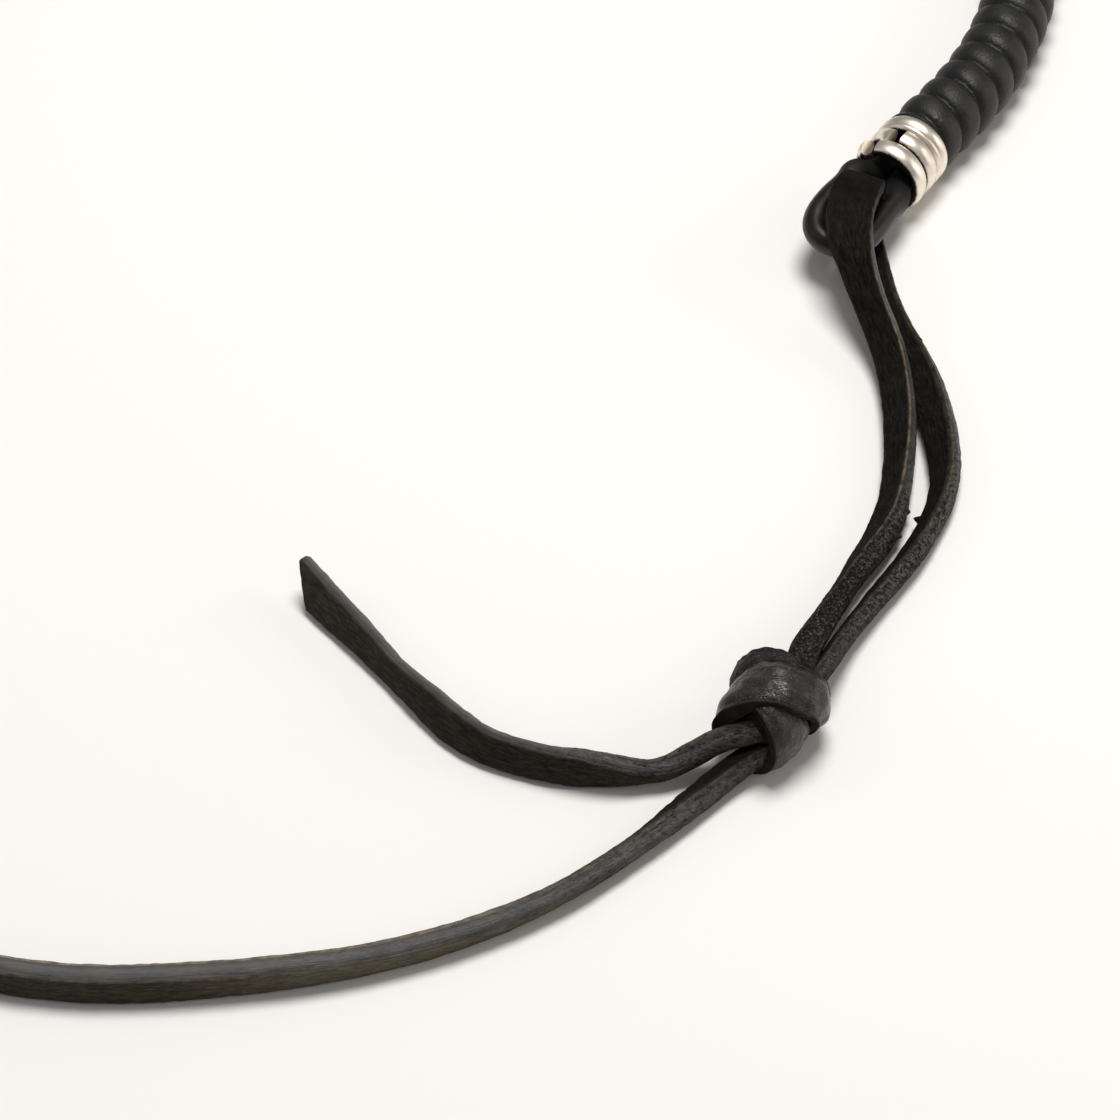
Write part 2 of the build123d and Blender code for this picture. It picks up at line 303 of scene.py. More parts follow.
def make_table():
    """A matte white board, much larger than the picture."""
    mesh = bpy.data.meshes.new("table")
    corners = [(x * BOARD_HALF, y * BOARD_HALF, 0) for x, y in ((-1, -1), (1, -1), (1, 1), (-1, 1))]
    mesh.from_pydata(corners, [], [(0, 1, 2, 3)])
    paint = new_material("matte white board", Base_Color=linear("#f4f3f1"), Roughness=0.9,
                         Specular_IOR_Level=0.1)[0]
    mesh.materials.append(paint)
    add_object("table", mesh)


# ---- shapes ----


def finish_mesh(name, points, faces, material, uv=None, **markings):
    """A smooth mesh object at the origin, with its UV in millimetres and its point attributes."""
    mesh = bpy.data.meshes.new(name)
    mesh.from_pydata([tuple(p) for p in points], [], faces)
    if uv is not None:
        layer = mesh.uv_layers.new(name="lace_mm")
        layer.data.foreach_set("uv", np.asarray(uv, dtype=np.float32).ravel())
    for key, values in markings.items():
        attribute = mesh.attributes.new(key, "FLOAT", "POINT")
        attribute.data.foreach_set("value", np.asarray(values, dtype=np.float32))
    mesh.materials.append(material)
    mesh.shade_smooth()
    mesh.validate()
    return add_object(name, mesh)


def finish_lace(name, points, faces, material, uv, columns, dusk):
    """A mesh of lace leather, with its markings. The points past the columns are plain and dusky."""
    markings = {}
    for key, column in zip(LACE_MARKINGS, columns):
        rest = np.full(len(points) - len(column), dusk if key == "dusk" else 0)
        markings[key] = np.concatenate([column, rest])
    return finish_mesh(name, points, faces, material, uv, **markings)


def read_route(rows):
    """The points along the smooth spline that has the route's points as its control points."""
    curve = bpy.data.curves.new("route", "CURVE")
    curve.dimensions = "3D"
    spline = curve.splines.new("NURBS")
    spline.points.add(len(rows) - 1)
    for point, row in zip(spline.points, rows):
        point.co = (*placed(*row), 1)
    spline.order_u = 3
    spline.use_endpoint_u = True
    spline.resolution_u = 24
    holder = bpy.data.objects.new("route", curve)
    mesh = bpy.data.meshes.new_from_object(holder)
    line = np.array([vertex.co for vertex in mesh.vertices])
    bpy.data.objects.remove(holder)
    bpy.data.meshes.remove(mesh)
    bpy.data.curves.remove(curve)
    return line


def line_lengths(line):
    steps = np.linalg.norm(np.diff(line, axis=0), axis=1)
    return np.concatenate([[0], np.cumsum(steps)])


def unit(rows):
    return rows / np.maximum(np.linalg.norm(rows, axis=-1, keepdims=True), 1e-12)


def rows_at(at, stations, rows):
    """The rows, which belong to stations, at the places between them."""
    return np.stack([np.interp(at, stations, rows[:, axis]) for axis in range(rows.shape[1])], axis=-1)


def softened(values, reach, ends="edge"):
    """Values averaged with their neighbours along the first axis, up to so many rows away."""
    kernel = np.hanning(2 * reach + 1)
    padded = np.pad(values, [(reach, reach)] + [(0, 0)] * (values.ndim - 1), mode=ends)
    return np.apply_along_axis(np.convolve, 0, padded, kernel / kernel.sum(), "valid")


def smooth_step(values):
    values = np.clip(values, 0, 1)
    return values * values * (3 - 2 * values)


def peak(distance, half):
    """1 where the distance is 0, and 0 from half on."""
    return np.clip(1 - np.abs(distance) / half, 0, 1)


def noise_at(points):
    """Perlin noise at each row of points, from about -1 to 1."""
    values = [noise.noise(Vector(point)) for point in points.reshape(-1, 3)]
    return np.array(values).reshape(points.shape[:-1])


def table_value(rows, distances, column=1):
    """A table's column at each distance, with straight steps between its rows."""
    return np.interp(distances, [row[0] for row in rows], [row[column] for row in rows])


def band_faces(section, first, rings, closed=False, way=1):
    """Quads between rings of a section's points, from the point first on. A way of -1 turns them over."""
    faces = []
    for ring in range(rings if closed else rings - 1):
        low, high = first + ring * section, first + (ring + 1) % rings * section
        for j in range(section):
            k = (j + 1) % section
            faces.append((low + j, *(low + k, high + k, high + j)[::way]))
    return faces


def fan_faces(section, first, tip, way=1):
    """Triangles between the ring that starts at the point first and a tip."""
    return [(first + j, first + (j + 1) % section, tip)[::way] for j in range(section)]


def band_uv(turns, low, high):
    """UV of the quads between rings, round the section and from each ring's place to the next's."""
    near = np.broadcast_to(turns * FACE_UV, low.shape)
    far = np.broadcast_to(np.append(turns[1:], 2) * FACE_UV, low.shape)
    corners = ((near, low), (far, np.roll(low, -1, axis=1)), (far, np.roll(high, -1, axis=1)), (near, high))
    return np.stack([np.stack(corner, axis=-1) for corner in corners], axis=2).reshape(-1, 2)


# ---- the lace ----

# Steps along the lace, radius of its rounded arrises, and how far it stays above the table
RING_STEP = 0.22
CORNER = 0.34
TABLE_GAP = 0.03
# Millimetres of UV for one face of the lace, and the share of a face's turn from its middle to
# its rounded arris
FACE_UV = 2.6
FACE_HALF = 0.42
# How many steps the lace's direction and its lift are softened over
TURN_REACH = 6
LIFT_REACH = 10
# How far from its end the lace is sheared to a slanting cut, and the rings that close its ends
CUT_REACH = 9
END_RINGS = (0.72, 0.36, 0)


def lace_section(face_samples, corner_samples):
    """One turn round a rectangle with rounded corners, from the middle of the bottom face.

    Returns the place on the inner rectangle as shares of its half sides, the outward normal,
    and the turn: 0 in the middle of the grain face, 1 of the next face, and so on.
    """
    rows = []
    for face in range(-2, 3):
        start = math.radians(90 * face)
        out = np.array([math.sin(start), math.cos(start)])
        side = np.array([math.cos(start), -math.sin(start)])
        low, high = 0 if face == -2 else -1, 0 if face == 2 else 1
        for share in np.linspace(low, high, face_samples // 2 if abs(face) == 2 else face_samples):
            rows.append((*(out + side * share), *out, face + share * FACE_HALF))
        if face < 2:
            for step in range(1, corner_samples):
                share = step / corner_samples
                angle = start + math.radians(90) * share
                rows.append((*(out + side), math.sin(angle), math.cos(angle),
                             face + FACE_HALF + (1 - 2 * FACE_HALF) * share))
    rows = np.array(rows[:-1])
    return rows[:, :2], rows[:, 2:4], rows[:, 4]


def make_lace(lace, material):
    """The flat lace as a mesh tube round its route's spline, with fibres, pebbles and cracks."""
    line = read_route(lace.route)
    lengths = line_lengths(line)
    count = int(lengths[-1] / (RING_STEP * MM)) + 1
    stations = np.linspace(0, lengths[-1], count)
    mm = stations / MM
    places, normals, turns = lace_section(13, 4)
    section = len(turns)
    path = rows_at(stations, lengths, line)
    tangents = unit(softened(unit(np.gradient(path, stations, axis=0)), TURN_REACH))
    grain_out = softened(np.stack([table_value(lace.grain_out, mm, axis) for axis in (1, 2, 3)], axis=-1),
                         TURN_REACH)
    grain_out = unit(grain_out - tangents * np.sum(grain_out * tangents, axis=1, keepdims=True))
    side = np.cross(tangents, grain_out)
    near_end = smooth_step((mm - (mm[-1] - CUT_REACH)) / CUT_REACH)
    at = stations[:, None] - lace.cut * MM * near_end[:, None] * (0.5 - places[:, 1] / 2)
    # Half the width and half the depth, which waver along the lace by 5 %
    half_across, half_deep = (
        (np.interp(at, stations, table_value(lace.widths, mm, column) * (1 + 0.05 * np.array(
            [noise.noise(Vector((s / wave, lace.seed, shift))) for s in mm]))) / 2 - CORNER) * MM
        for column, wave, shift in ((1, 7, 3.1), (2, 6, 9.7)))
    theta = 2 * math.pi * turns / 4
    around = np.broadcast_to(np.stack([np.sin(theta), np.cos(theta)], axis=-1) * 1.7, (count, section, 2))
    s = at / MM
    # Columns: scale round the lace, scale along it, shift
    fibres, pebble, crease, split, nick = (
        noise_at(np.concatenate([around * round_scale, (s * along_scale)[..., None]], axis=-1)
                 + np.array([lace.seed + shift, lace.seed * 0.7, 0]))
        for round_scale, along_scale, shift in (
            (2.6, 0.28, 0), (3.4, 3, 5), (1.1, 1.2, 11), (2.1, 0.75, 17), (3, 0.9, 23)))

    from_face = np.abs((turns + 0.5) % 1 - 0.5)
    by_left, by_right = np.abs(turns + 0.5) < 0.3, np.abs(turns - 0.5) < 0.3
    right_arris = smooth_step((turns - 0.34) / 0.06) * (turns < 0.62)
    arris = np.where(by_right, right_arris, smooth_step((from_face - 0.45) / 0.035))
    grain = smooth_step((0.52 - np.abs(turns)) / 0.06)
    flesh = 1 - grain
    pitted, cracked, flesh_dusk, grain_dusk = (
        table_value(lace.wear, mm, column)[:, None] for column in (1, 2, 3, 4))
    left_rub, right_rub = (table_value(lace.rubbed, mm, column)[:, None] for column in (1, 2))
    rub = np.where(by_left, left_rub, np.where(by_right, right_rub, 0.06))
    crack_and_shade = peak(split, 0.07) * cracked
    # Painted shade, mostly on the cut faces, which the crack marking carries and the crack colour paints near
    # black
    grime = table_value(lace.grime, mm)[:, None] * (0.35 + 0.65 * flesh)
    height = 0.055 * fibres * flesh + 0.02 * fibres * grain
    height = height + 0.07 * pebble * pitted * grain + 0.035 * crease - 0.11 * crack_and_shade
    # The grain face is slightly domed, and the arrises are ragged
    height = height + 0.14 * np.clip(1 - (turns / FACE_HALF) ** 2, 0, 1)
    height = height + smooth_step((from_face - 0.4) / 0.08) * (0.06 * nick - 0.35 * np.clip(nick - 0.42, 0, 1))
    for where, turn, reach_out, length in lace.teeth:
        height = height + reach_out * peak(s - where, length) * peak(turns - turn, 0.14)

    p = places[:, 0] * half_across + normals[:, 0] * (CORNER + height) * MM
    q = places[:, 1] * half_deep + normals[:, 1] * (CORNER + height) * MM
    grid = rows_at(at, lengths, line) + rows_at(at, stations, side) * p[..., None]
    grid = grid + rows_at(at, stations, grain_out) * q[..., None]
    lift = np.maximum(0, TABLE_GAP * MM - grid[..., 2].min(axis=1))
    padded = np.pad(lift, LIFT_REACH, mode="edge")
    highest = np.array([padded[i:i + 2 * LIFT_REACH + 1].max() for i in range(count)])
    lift = np.maximum(lift, softened(highest, LIFT_REACH))
    grid[..., 2] += lift[:, None]
    path[:, 2] += lift

    points = list(grid.reshape(-1, 3))
    faces = band_faces(section, 0, count)
    uv = list(band_uv(turns, s[:-1], s[1:]))
    for ring, way in ((0, -1), (count - 1, 1)):
        middle = grid[ring].mean(axis=0)
        last = ring * section
        for share in END_RINGS:
            base = len(points)
            if share:
                inner = middle + (grid[ring] - middle) * share
                points.extend(inner + tangents[ring] * (noise_at(inner / MM * 2.2) * 0.05 * MM)[:, None])
            else:
                points.append(middle)
            for j in range(section):
                k = (j + 1) % section
                face = (last + j, last + k, base + k, base + j) if share else (last + j, last + k, base)
                faces.append(face[::way])
                uv.extend([(turns[j] * FACE_UV * (share + 0.3), j * 0.13)] * len(face))
            last = base
    # The crack marking carries both the cracks and the painted shade
    columns = [np.broadcast_to(column, (count, section)).ravel() for column in (
        grain, arris * rub, np.clip(np.maximum(crack_and_shade, grime), 0, 1),
        flesh_dusk * flesh + grain_dusk * grain, pitted, cracked)]
    return finish_lace(lace.name, points, faces, material, uv, columns, 0.5), path, lengths[-1]


# The two legs, the free tail and the long lead. Their routes go from the knot by the upper leg,
# over the eye's rim, down through the eye, under the rim and back by the lower leg; from the
# knot to the cut end; and from the knot into the sleeve. In the other tables each row starts
# with the distance along the lace, and after it:
# grain_out, the way the grain face looks, as x, y, z.
# widths, the width of the grain face and the depth of the lace behind it.
# wear, the share of pits, of creases, and how dark the cut faces and the grain face are.
# rubbed, how tan the arris left and right of the grain face is.
# the shade table: the share of near-black painted shade, where the lace runs through the eye and next to the
# knot.
# teeth, the turn round the section, how far the tooth of a torn arris stands out, half its length.
# cut is how far the slanting end is sheared, and seed shifts the lace's noises.
LEGS = SimpleNamespace(
    name="lace_legs_leather",
    route=[
        (20.6, -18.6, 4.3), (21.2, -15, 4), (22.9, -10.6, 2.5), (26.2, -3.6, 1.3), (29.9, 2.4, 1.3),
        (31.25, 9.6, 1.3), (31.8, 17.2, 1.3), (31.2, 24.4, 1.9), (28.8, 30.2, 4.6), (27.15, 35.8, 7.7),
        (28.3, 41, 7.7), (30, 44.4, 5.6), (29.5, 42.9, 1.3), (30.25, 36.8, 1.3), (31.1, 30.6, 1.3),
        (34, 22.2, 1.3), (35.4, 14.6, 1.3), (35.6, 7.6, 1.3), (32.65, 0.3, 1.3), (27.9, -6.5, 1.3),
        (24.85, -11.8, 2), (23.15, -16.2, 3.6), (21.7, -18.6, 4),
    ],
    grain_out=[
        (0, 0.1, -0.3, 0.95), (8, 0.2, -0.3, 0.93), (15, 0.42, -0.2, 0.85), (25, 0.8, -0.1, 0.55),
        (33, 0.92, -0.05, 0.4), (54, 0.93, 0.05, 0.25), (59, 0.95, 0, -0.05), (66, 0.9, -0.3, -0.1),
        (70.6, 0.88, -0.45, 0), (82, 0.95, 0, 0.15), (94, 0.9, -0.15, 0.35), (108, 0.75, -0.3, 0.6),
        (121, 0.45, -0.4, 0.8), (137, 0.2, -0.4, 0.9),
    ],
    widths=[
        (0, 2.6, 2.2), (5, 2.7, 2.1), (10, 2.3, 2), (15, 2, 1.9), (20, 2.3, 2.3), (24, 2.3, 2.5),
        (28, 2, 2.4), (41, 2.1, 2.9), (51, 2.1, 3.1), (54, 2.1, 3.4), (58, 2.1, 4.3), (63, 1.9, 4.5),
        (66, 1.8, 4.1), (68, 1.8, 3.2), (70, 1.9, 2.6), (76, 2, 2.7), (82, 2, 2.8), (93, 2, 3.15),
        (100, 2, 3.05), (107, 1.8, 2.4), (113, 1.8, 2), (120, 1.8, 2.1), (129, 1.6, 1.7), (137, 1.7, 1.8),
    ],
    wear=[
        (0, 1, 0.8, 1, 1), (16, 1, 0.7, 1, 1), (23, 0.9, 0.4, 1, 0.7), (30, 0.5, 0.3, 1, 0.25),
        (38, 0.3, 0.3, 1, 0.1), (54, 0.2, 0.3, 1, 0.2), (60, 0.3, 0.6, 0.95, 0.9), (86.4, 0.4, 0.2, 1, 0.8),
        (101.4, 0.5, 0.3, 1, 0.5), (109.4, 0.9, 0.3, 1, 0.5), (118.4, 1, 0.3, 1, 0.6),
        (137.4, 0.6, 0.5, 1, 0.7),
    ],
    rubbed=[
        (0, 0.05, 0.05), (19, 0.35, 0.05), (27, 0.6, 0.05), (50, 0.8, 0.05), (57, 0.45, 0.1), (60, 0, 0.1),
        (86.4, 0.1, 0.15), (98.4, 0.1, 0.12), (107.4, 0.05, 0.12), (119.4, 0, 0.1), (137.4, 0, 0.1),
    ],
    grime=[
        (0, 0.9), (3, 0.5), (7, 0), (57, 0), (60, 0.45), (63, 1), (66, 1), (77.4, 0.9), (81.4, 0.1),
        (87.4, 0), (128.4, 0), (133.4, 0.5), (137.4, 0.9),
    ],
    teeth=[(26, 0.5, 0.25, 0.45), (22.9, 0.5, 0.28, 0.4), (89.4, 0.5, 0.3, 0.4), (111.9, 1.5, 0.6, 0.4)],
    cut=0.0,
    seed=2.3,
)
TAIL = SimpleNamespace(
    name="lace_tail_leather",
    route=[
        (18.9, -22.9, 4.5), (16.6, -24, 4.3), (14.2, -23.9, 3.6), (11.2, -24.9, 2.1), (8.55, -26.1, 1.5),
        (4.6, -26.15, 1.3), (-1.2, -25.5, 1.3), (-8, -22.85, 1.4), (-13.4, -16.3, 1.5), (-18.33, -9.87, 1.5),
        (-23.5, -3.8, 1.5),
    ],
    grain_out=[
        (0, 0.1, -0.6, 0.79), (9, 0.05, -0.5, 0.85), (15, 0, -0.1, 0.98), (21, 0.12, 0.25, 0.95),
        (31, 0.25, 0.35, 0.9), (53, 0.34, 0.25, 0.9),
    ],
    widths=[
        (0, 2, 1.6), (3, 2.2, 1.8), (8, 2.2, 1.9), (12, 1.8, 1.8), (15, 1.9, 2.7), (18, 1.8, 3.4),
        (21, 1.65, 3.1), (24, 1.5, 3.25), (27, 1.5, 3.2), (30, 1.5, 3.45), (33, 1.5, 3.35), (36, 1.5, 2.8),
        (39, 1.5, 2.55), (42, 1.5, 2.85), (45, 1.5, 3.2), (49, 1.5, 3.6), (53, 1.5, 4.25),
    ],
    wear=[
        (0, 0.12, 1, 0.6, 0.45), (10, 0.12, 1, 0.6, 0.35), (18, 0.15, 0.5, 0.8, 0.2),
        (26, 0.1, 0.25, 0.85, 0.15), (53, 0.05, 0.15, 0.75, 0.15),
    ],
    rubbed=[(0, 0.05, 0.1), (14, 0.05, 0.3), (24, 0.05, 0.6), (53, 0.05, 0.7)],
    grime=[(0, 0.7), (4, 0.2), (8, 0)],
    teeth=[],
    cut=2.6,
    seed=5.9,
)
LEAD = SimpleNamespace(
    name="lace_lead_leather",
    route=[
        (19, -24, 3.1), (17.2, -24.9, 2.7), (15.2, -25.9, 1.9), (12.1, -28.8, 1.5), (6.4, -34.35, 1.3),
        (-2, -40.95, 1.3), (-14, -46.1, 1.3), (-28, -48.6, 1.3), (-43, -49.2, 1.3), (-57, -44.9, 1.3),
        (-68.6, -36.2, 1.3), (-76.4, -23.8, 1.3), (-80.2, -9.6, 1.3), (-81, 4, 1.4), (-80.7, 16.1, 3.7),
        (-81.2, 25.6, 3.7),
    ],
    grain_out=[
        (0, 0.72, -0.6, 0.35), (8, 0.62, -0.62, 0.48), (12, 0.3, -0.66, 0.69), (15, 0.06, -0.67, 0.74),
        (21, 0.02, -0.66, 0.75), (25, 0, -0.57, 0.82), (30, 0, -0.42, 0.91), (36, 0, -0.33, 0.95),
        (42, 0, -0.26, 0.97), (48, 0, -0.16, 0.99), (54, 0, -0.07, 1), (60, 0, 0, 1),
    ],
    widths=[
        (0, 1.8, 1.7), (5, 2.1, 1.9), (9, 2.2, 2), (12, 2, 2), (16, 1.85, 2.1), (21, 1.85, 2.2),
        (30, 1.95, 2.4), (42, 2, 2.6), (48, 2, 3), (60, 2.1, 3.15), (142, 2.1, 3.15), (157, 1.9, 2),
        (166, 1.9, 1.9),
    ],
    wear=[
        (0, 0.15, 1, 1, 0.15), (12, 0.15, 0.9, 0.9, 0.05), (22, 0.12, 0.5, 0.5, 0.1),
        (30, 0.05, 0.25, 0.1, 0), (46, 0, 0.15, 0.1, 0), (60, 0, 0.1, 0.7, 0),
    ],
    rubbed=[(0, 0, 0.05), (24, 0, 0.15), (32, 0.15, 0.5), (45, 0.35, 0.8), (80, 0.45, 0.9)],
    grime=[(0, 1), (5, 0.85), (10, 0.35), (16, 0)],
    teeth=[],
    cut=0.0,
    seed=8.4,
)


# ---- the knot ----

# The top, the lower and the back turn of the knot. Columns: middle, azimuth of the axis, half
# width, half height, the share of grain on its outside, how dark it is, how pitted, how much its
# left side widens towards the near edge, and its edges: angle over its right side, how far the
# near and the far edge lie along the axis, and the lace's thickness.
KNOT_TURNS = [
    ((18.8, -21, 4.1), 72, 4.35, 4.05, 1, 0.97, 0.1, 0.2, [
        (-90, -0.6, 2.8, 1.15), (-45, 0, 3, 1.15), (0, -0.6, 3, 1.2), (45, -2.2, 2.6, 1.2),
        (90, -2.75, 2.5, 1.25), (130, -3.3, 2.4, 1.8), (170, -3.8, 2.8, 2.1), (200, -3.5, 2.8, 1.8),
        (235, -2.4, 2.8, 1.2), (270, -0.6, 2.8, 1.15),
    ]),
    ((17.5, -23, 3.7), 48, 3.45, 3.7, 1, 0.85, 0.15, 0, [
        (-60, -2.3, 2.6, 1.25), (0, -1.85, 2.6, 1.25), (60, -1.45, 2.4, 1.2),
        (90, -1, 2.2, 1.2), (135, 0.4, 2.2, 1.2), (180, 1, 2.4, 1.2), (225, 0.4, 2.2, 1.2),
        (270, -2.3, 2.6, 1.25),
    ]),
    # The back turn's half share of grain darkens it and dulls its sheen: painted shade
    ((18.2, -18.1, 3.75), 84, 3.2, 3.3, 0.5, 1, 1, 0, [
        (0, -1.7, 1.6, 1.2), (60, -1.7, 1.75, 1.2), (120, -1.7, 1.6, 1.2),
        (180, -1.7, 1.5, 1.2), (270, -1.7, 1.6, 1.2),
    ]),
]

# The lace packed inside the knot. Columns: middle, azimuth of its length, half sizes.
KNOT_CORE = ((18.9, -20.6, 3.8), 62, (4.5, 3.15, 3.15))

# Steps round each turn, the UV length of a step, and the core's rings and points in a ring
TURN_STEPS = 200
STEP_UV = 0.13
CORE_RINGS = 24
CORE_POINTS = 48


def periodic(rows, angles, column):
    """A column of a table of angles all the way round, with its corners rounded off."""
    plain = table_value(rows, (np.degrees(angles) + 90) % 360 - 90, column)
    return softened(plain, len(angles) // 24 + 1, "wrap")


def make_knot(material):
    """The overhand knot, pulled tight: flattened turns of the lace that cross one another."""
    places, normals, turns = lace_section(25, 5)
    section = len(turns)
    shape = (TURN_STEPS, section)
    angle = np.linspace(0, 2 * math.pi, TURN_STEPS, endpoint=False)
    cosine, sine = np.cos(angle)[:, None], np.sin(angle)[:, None]
    v = np.broadcast_to(np.arange(TURN_STEPS)[:, None] * STEP_UV, shape)
    points, faces, uv, columns = [], [], [], []
    for number, row in enumerate(KNOT_TURNS):
        middle, azimuth, half_width, half_height, grain_share, dusk, pitted, flare, edges = row
        axis = heading(azimuth)
        right = np.cross(axis, UP)
        near, far, thick = (periodic(edges, angle, column)[:, None] for column in (1, 2, 3))
        wide, high = (half_width - thick / 2) * MM, (half_height - thick / 2) * MM
        centre = np.array(placed(*middle)) + right * (wide * cosine) + UP * (high * sine)
        centre = centre + axis * ((near + far) / 2 * MM)
        out = np.cross(axis, unit(right * (-wide * sine) + UP * (high * cosine)))
        across = places[:, 0] * ((far - near) / 2 - CORNER) + normals[:, 0] * CORNER
        spot = np.stack([across * 0.5, cosine * 2.2 + np.cos(2 * math.pi * turns / 4) * 0.4,
                         np.broadcast_to(sine * 2.2 + 5 * number, shape)], axis=-1)
        # Columns: scale across the turn, scale round it, shift
        crease, dents, fine, lines = (
            noise_at(spot * np.array([wide_scale, round_scale, round_scale]) + shift)
            for wide_scale, round_scale, shift in (
                (1.8, 0.7, 0), (1.7, 1.7, 4), (6, 2.4, 7), (2.6, 0.6, 1.5)))
        arris = smooth_step((np.abs((turns + 0.5) % 1 - 0.5) - 0.44) / 0.05)
        cut_face = smooth_step((np.abs(turns) - 0.56) / 0.08)
        grain = smooth_step((0.58 - np.abs(turns)) / 0.08) * grain_share
        crack_and_shade = peak(lines, 0.045) * np.clip(fine + 0.25, 0, 1) * (0.45 + 0.55 * pitted)
        crown = (0.42 * (1 - np.abs(places[:, 0]) ** 2.5) - 0.24) * (normals[:, 1] > 0.5)
        height = crown + 0.13 * crease + 0.1 * dents + (0.03 + 0.05 * pitted) * fine - 0.08 * crack_and_shade
        p = (across + normals[:, 0] * height) * MM
        q = (places[:, 1] * (thick / 2 - CORNER) + normals[:, 1] * (CORNER + height)) * MM
        widening = -flare * across * np.minimum(cosine, 0)
        grid = centre[:, None] + axis * p[..., None] + out[:, None] * q[..., None]
        grid = grid + right * (widening * MM)[..., None]
        grid[..., 2] = np.maximum(grid[..., 2], 0.02 * MM)
        faces.extend(band_faces(section, len(points), TURN_STEPS, closed=True))
        points.extend(grid.reshape(-1, 3))
        uv.extend(band_uv(turns, v, v + STEP_UV))
        # Painted shade: the cut faces of the turns are darkened through the crack marking
        columns.append([np.broadcast_to(column, shape).ravel() for column in (
            grain, 0.04 * arris, np.maximum(crack_and_shade, 0.75 * cut_face), np.maximum(dusk, 1 - grain), pitted, 0.4)])

    middle, azimuth, half_sizes = KNOT_CORE
    ways = (heading(azimuth), np.cross(heading(azimuth), UP), UP)
    base = len(points)
    for ring in range(CORE_RINGS + 1):
        tilt = math.pi * ring / CORE_RINGS
        for j in range(CORE_POINTS if 0 < ring < CORE_RINGS else 1):
            turn = 2 * math.pi * j / CORE_POINTS
            ball = (math.cos(tilt), math.sin(tilt) * math.cos(turn), math.sin(tilt) * math.sin(turn))
            points.append(np.array(placed(*middle)) + sum(
                way * half * share * MM for way, half, share in zip(ways, half_sizes, ball)))
    tip = len(points) - 1
    core = (fan_faces(CORE_POINTS, base + 1, base, -1) + band_faces(CORE_POINTS, base + 1, CORE_RINGS - 1)
            + fan_faces(CORE_POINTS, tip - CORE_POINTS, tip))
    for number, face in enumerate(core):
        uv.extend([(number % CORE_POINTS * 0.3, number // CORE_POINTS * 0.3)] * len(face))
    columns = np.concatenate(columns, axis=1)
    return finish_lace("overhand_knot", points, faces + core, material, uv, columns, 1)


# ---- silver wire wrap, leather eye and wound strand ----

WRAP_CENTRE = (33.3, 48.8)
WRAP_AZIMUTH = 57
WRAP_RADIUS = 3.8
RING_PITCH = 2.05
WIRE_HEIGHT = 1.25
STRAND_RADIUS = 3.7
LACE_PITCH = 3.2
RIDGE_DEPTH = 0.85
PIECE_GAP = 0.12
WRAP_AXIS = heading(WRAP_AZIMUTH)
WRAP_RIGHT = heading(WRAP_AZIMUTH - 90)

# The strand's way round, as arcs. Columns: radius, turn to the left in degrees.
STRAND_BENDS = [
    (-40, -6), (46, 58), (46, 50), (66, 44), (76, 38), (110, 32),
]


def strand_line():
    """Points about 1 mm apart along the middle of the strand, and the direction of its far end."""
    point = np.array(placed(*WRAP_CENTRE, STRAND_RADIUS))
    point = point + WRAP_AXIS * (1.5 * RING_PITCH + PIECE_GAP) * MM
    way = WRAP_AZIMUTH
    line = [point]
    for radius, turn in STRAND_BENDS:
        hub = point + heading(way + 90) * radius * MM
        parts = max(2, round(abs(radius * math.radians(turn))))
        for part in range(1, parts + 1):
            line.append(hub - heading(way + turn * part / parts + 90) * radius * MM)
        way = way + turn
        point = line[-1]
    return line, heading(way)


def grow(name, line, marks, numbers, material, build):
    """A piece made by a node tree from points joined in a row, and kept as a plain mesh.

    The tree has a named input for each number and one for the material, and build adds its nodes.
    """
    mesh = bpy.data.meshes.new(name)
    mesh.from_pydata([tuple(p) for p in line], [(i, i + 1) for i in range(len(line) - 1)], [])
    for key, values in marks.items():
        mesh.attributes.new(key, "FLOAT", "POINT").data.foreach_set("value", values)
    holder = add_object(name + " line", mesh)
    tree = bpy.data.node_groups.new(name + " nodes", "GeometryNodeTree")
    tree.interface.new_socket("Geometry", in_out="INPUT", socket_type="NodeSocketGeometry")
    chosen = {}
    for key, value in {**numbers, "Material": material}.items():
        kind = {int: "NodeSocketInt", float: "NodeSocketFloat"}.get(type(value), "NodeSocketMaterial")
        chosen[tree.interface.new_socket(key, in_out="INPUT", socket_type=kind).identifier] = value
    tree.interface.new_socket("Geometry", in_out="OUTPUT", socket_type="NodeSocketGeometry")
    add = partial(add_node, tree)
    source = add("NodeGroupInput").node.outputs
    smooth = add("GeometryNodeSetShadeSmooth", build(add, source))
    real = add("GeometryNodeRealizeInstances", smooth)
    add("NodeGroupOutput", add("GeometryNodeSetMaterial", {"Geometry": real, "Material": source["Material"]}))
    modifier = holder.modifiers.new(tree.name, "NODES")
    modifier.node_group = tree
    for identifier, value in chosen.items():
        modifier[identifier] = value
    bpy.context.view_layer.update()
    shape = holder.evaluated_get(bpy.context.evaluated_depsgraph_get())
    grown = bpy.data.meshes.new_from_object(shape)
    holder.modifiers.remove(modifier)
    bpy.data.objects.remove(holder)
    bpy.data.meshes.remove(mesh)
    grown.name = name
    return add_object(name, grown)


